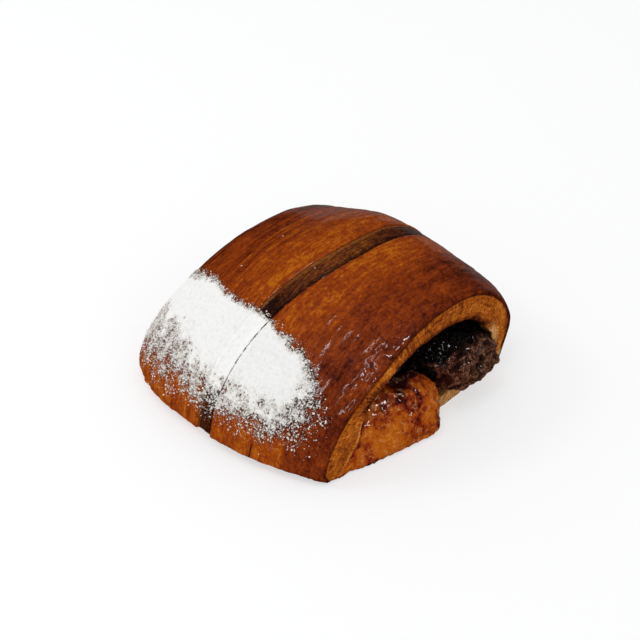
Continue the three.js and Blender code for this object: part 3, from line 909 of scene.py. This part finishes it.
# Icing sugar that stands up from the crust: clumps of grains and finer dust
grains = {
    "clumps": 3600, "clumpSizes": (0.11, 0.34), "clumpShapes": (0.5, 1.5), "dust": 12000,
    "dustSizes": (0.07, 0.17), "dustShapes": (0.6, 1.3), "dustDepth": 1.5, "sunk": 0.25,
    "gather": 1.4, "core": (0.95, 0.6), "crackWidth": 0.6, "lowest": 1.5,
    "strays": [(-18.7, 2.3, 46.8), (-20.3, -16.1, 42.3), (6.9, -7.3, 50.9)],
}
draws = np.random.default_rng(seed + 1)


def faceFacts(piece):
    count = len(piece.data.polygons)
    middles = np.zeros(count * 3)
    normals = np.zeros(count * 3)
    areas = np.zeros(count)
    piece.data.polygons.foreach_get("center", middles)
    piece.data.polygons.foreach_get("normal", normals)
    piece.data.polygons.foreach_get("area", areas)
    return middles.reshape(-1, 3) / mm, normals.reshape(-1, 3), areas / mm ** 2


def pointsOver(pieces, weightOf, count):  # random places on the faces, more of them where the weight is high
    facts = zip(*[faceFacts(piece) for piece in pieces])
    middles, normals, areas = [np.concatenate(parts) for parts in facts]
    weights = areas * weightOf(middles)
    chosen = draws.choice(len(middles), count, p=weights / weights.sum())
    loose = draws.uniform(-0.5, 0.5, (count, 3)) * np.sqrt(areas[chosen])[:, None]
    loose -= normals[chosen] * (loose * normals[chosen]).sum(1)[:, None]
    return middles[chosen] + loose, normals[chosen]


def randomTurns(count):  # rotation matrices, one for each copy
    q = draws.normal(size=(count, 4))
    w, i, j, k = (q / np.linalg.norm(q, axis=1)[:, None]).T
    rows = [[1 - 2 * (j * j + k * k), 2 * (i * j - k * w), 2 * (i * k + j * w)],
            [2 * (i * j + k * w), 1 - 2 * (i * i + k * k), 2 * (j * k - i * w)],
            [2 * (i * k - j * w), 2 * (j * k + i * w), 1 - 2 * (i * i + j * j)]]
    return np.array(rows).transpose(2, 0, 1)


def copiesJoined(name, model, places, sizes, material):  # one mesh of turned, scaled copies of a small shape
    corners = placesOf(model)
    faces = np.array([list(polygon.vertices) for polygon in model.data.polygons])
    bpy.data.objects.remove(model)
    count = len(places)
    shapes = corners[None] * sizes[:, None, :]
    turned = np.einsum("nij,nkj->nki", randomTurns(count), shapes) + places[:, None, :]
    allFaces = (faces[None] + len(corners) * np.arange(count)[:, None, None]).reshape(-1, faces.shape[1])
    mesh = bpy.data.meshes.new(name)
    mesh.from_pydata(turned.reshape(-1, 3) * mm, [], allFaces)
    piece = bpy.data.objects.new(name, mesh)
    bpy.context.scene.collection.objects.link(piece)
    piece.data.materials.append(material)
    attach(piece, "root")
    print(name, len(allFaces), "faces")


def sugarWeight(points):  # where the grains gather: at the cover's edges and away from the crack
    x, a, _, depth = wrapPlaces(points)
    density = sugarAt(x, a) * between(depth, *sugar["onCrust"]) * (points[:, 2] > grains["lowest"])
    clear = np.abs(x - stripMiddle(a) - strip["halfWidth"]) > grains["crackWidth"]
    return density ** grains["gather"] * between(density, *grains["core"]) * clear


def sugarMaterial():
    material, tree, shader = newMaterial("icing sugar", 0.85)
    tint = evenNoise(tree, objectPlaces(tree), 0.6, 2, 0.6)
    colour = ramp(tree, tint, [(0.34, "#a8927e"), (0.46, "#dcd6cf"), (0.6, "#fbfbf9")])
    feed(tree, shader.inputs["Base Color"], colour)
    return material


def scattered(pieces, count, sizeRange, shapeRange):  # places and sizes of grains, partly sunk
    places, normals = pointsOver(pieces, sugarWeight, count)
    sizes = draws.uniform(*sizeRange, (count, 1)) * draws.uniform(*shapeRange, (count, 3))
    return places + normals * sizes.mean(1)[:, None] * (1 - 2 * grains["sunk"]), sizes


def sugarGrains(pieces, material):
    g = grains
    deselectAll()
    bpy.ops.mesh.primitive_ico_sphere_add(subdivisions=1, radius=mm)
    clump = bpy.context.object
    places, sizes = scattered(pieces, g["clumps"], g["clumpSizes"], g["clumpShapes"])
    places[:len(g["strays"])] = g["strays"]
    copiesJoined("icing_sugar_clumps", clump, places, sizes, material)
    deselectAll()
    bpy.ops.mesh.primitive_cone_add(vertices=3, radius1=mm, depth=g["dustDepth"] * mm)
    speck = bpy.context.object
    places, sizes = scattered(pieces, g["dust"], g["dustSizes"], g["dustShapes"])
    copiesJoined("icing_sugar_dust", speck, places, sizes, material)


print("pieces")
crust = bakedDough(crustMaterial())
chocolateFilling(chocolateMaterial())
ribbon = cocoaStrip(stripMaterial())
print("sugar")
sugarGrains([crust, ribbon], sugarMaterial())


# The room: a pale floor, lamps that give light or glints, and the camera
view = {
    "azimuth": 45.0, "elevation": 37.5, "distance": 0.6, "lens": 95.0, "sensor": 36,
    "clipStart": 0.01, "target": (0.00015, 0.00185, 0.02),
}
room = {
    "floorHalf": 1.5, "floorGrey": 0.46, "floorGlow": 0.56, "sky": (0.98, 0.99, 1.0, 1), "skyPower": 0.8,
    "tallUpright": (-0.28, 0.75, 0.44),
}
lights = [  # towards the lamp, distance, width, height, watts, whether it gives light and glints
    ((-0.56, -0.5, 0.67), 0.9, 0.3, 0.3, 1.2, True, False),
    ((0.05, -0.35, 0.93), 0.8, 0.2, 0.2, 0.5, True, False),
    ((0.25, -0.43, 0.87), 0.8, 0.03, 0.75, 1.3, False, True),
    ((0.45, 0.1, 0.85), 0.8, 0.14, 0.14, 2.0, False, True),
    ((0.85, -0.2, 0.5), 0.8, 0.08, 0.08, 0.9, False, True),
    ((-0.3, 0.93, -0.22), 0.6, 0.8, 0.4, 0.16, False, True),
]


target = Vector(view["target"])


def pointAt(thing, place, upright=(0, 0, 1)):  # turns a lamp or the camera to the target
    back = (Vector(place) - target).normalized()
    side = Vector(upright).cross(back).normalized()
    thing.location = place
    thing.rotation_euler = Matrix((side, back.cross(side), back)).transposed().to_euler()


def paleFloor():
    deselectAll()
    bpy.ops.mesh.primitive_plane_add(size=room["floorHalf"] * 2)
    floor = bpy.context.object
    floor.name = "floor"
    material, _, shader = newMaterial("pale floor", 0.9)
    shader.inputs["Base Color"].default_value = [room["floorGrey"]] * 3 + [1]
    shader.inputs["Emission Color"].default_value = (1, 1, 1, 1)
    shader.inputs["Emission Strength"].default_value = room["floorGlow"]
    floor.data.materials.append(material)
    floor.visible_glossy = False  # only the lamps glint on the crust


def lamps():
    for number, (towards, distance, width, height, power, gives, glints) in enumerate(lights):
        data = bpy.data.lights.new("light " + str(number), "AREA")
        data.shape = "RECTANGLE"
        data.size = width
        data.size_y = height
        data.energy = power
        lamp = bpy.data.objects.new(data.name, data)
        lamp.visible_diffuse = gives
        lamp.visible_glossy = glints
        bpy.context.scene.collection.objects.link(lamp)
        upright = room["tallUpright"] if height > width else (0, 0, 1)
        pointAt(lamp, target + Vector(towards).normalized() * distance, upright)


def evenSky():
    world = bpy.data.worlds.new("studio")
    world.use_nodes = True
    background = world.node_tree.nodes["Background"]
    background.inputs[0].default_value = room["sky"]
    background.inputs[1].default_value = room["skyPower"]
    world.cycles_visibility.glossy = False
    bpy.context.scene.world = world


def photoCamera():
    azimuth = radians(view["azimuth"])
    rise = radians(view["elevation"])
    back = Vector((sin(azimuth) * cos(rise), -cos(azimuth) * cos(rise), sin(rise)))
    data = bpy.data.cameras.new("camera")
    data.lens = view["lens"]
    data.sensor_width = view["sensor"]
    data.clip_start = view["clipStart"]
    camera = bpy.data.objects.new("camera", data)
    bpy.context.scene.collection.objects.link(camera)
    pointAt(camera, target + back * view["distance"])
    bpy.context.scene.camera = camera
    bpy.context.scene.view_settings.view_transform = "Standard"


print("room")
paleFloor()
lamps()
evenSky()
photoCamera()
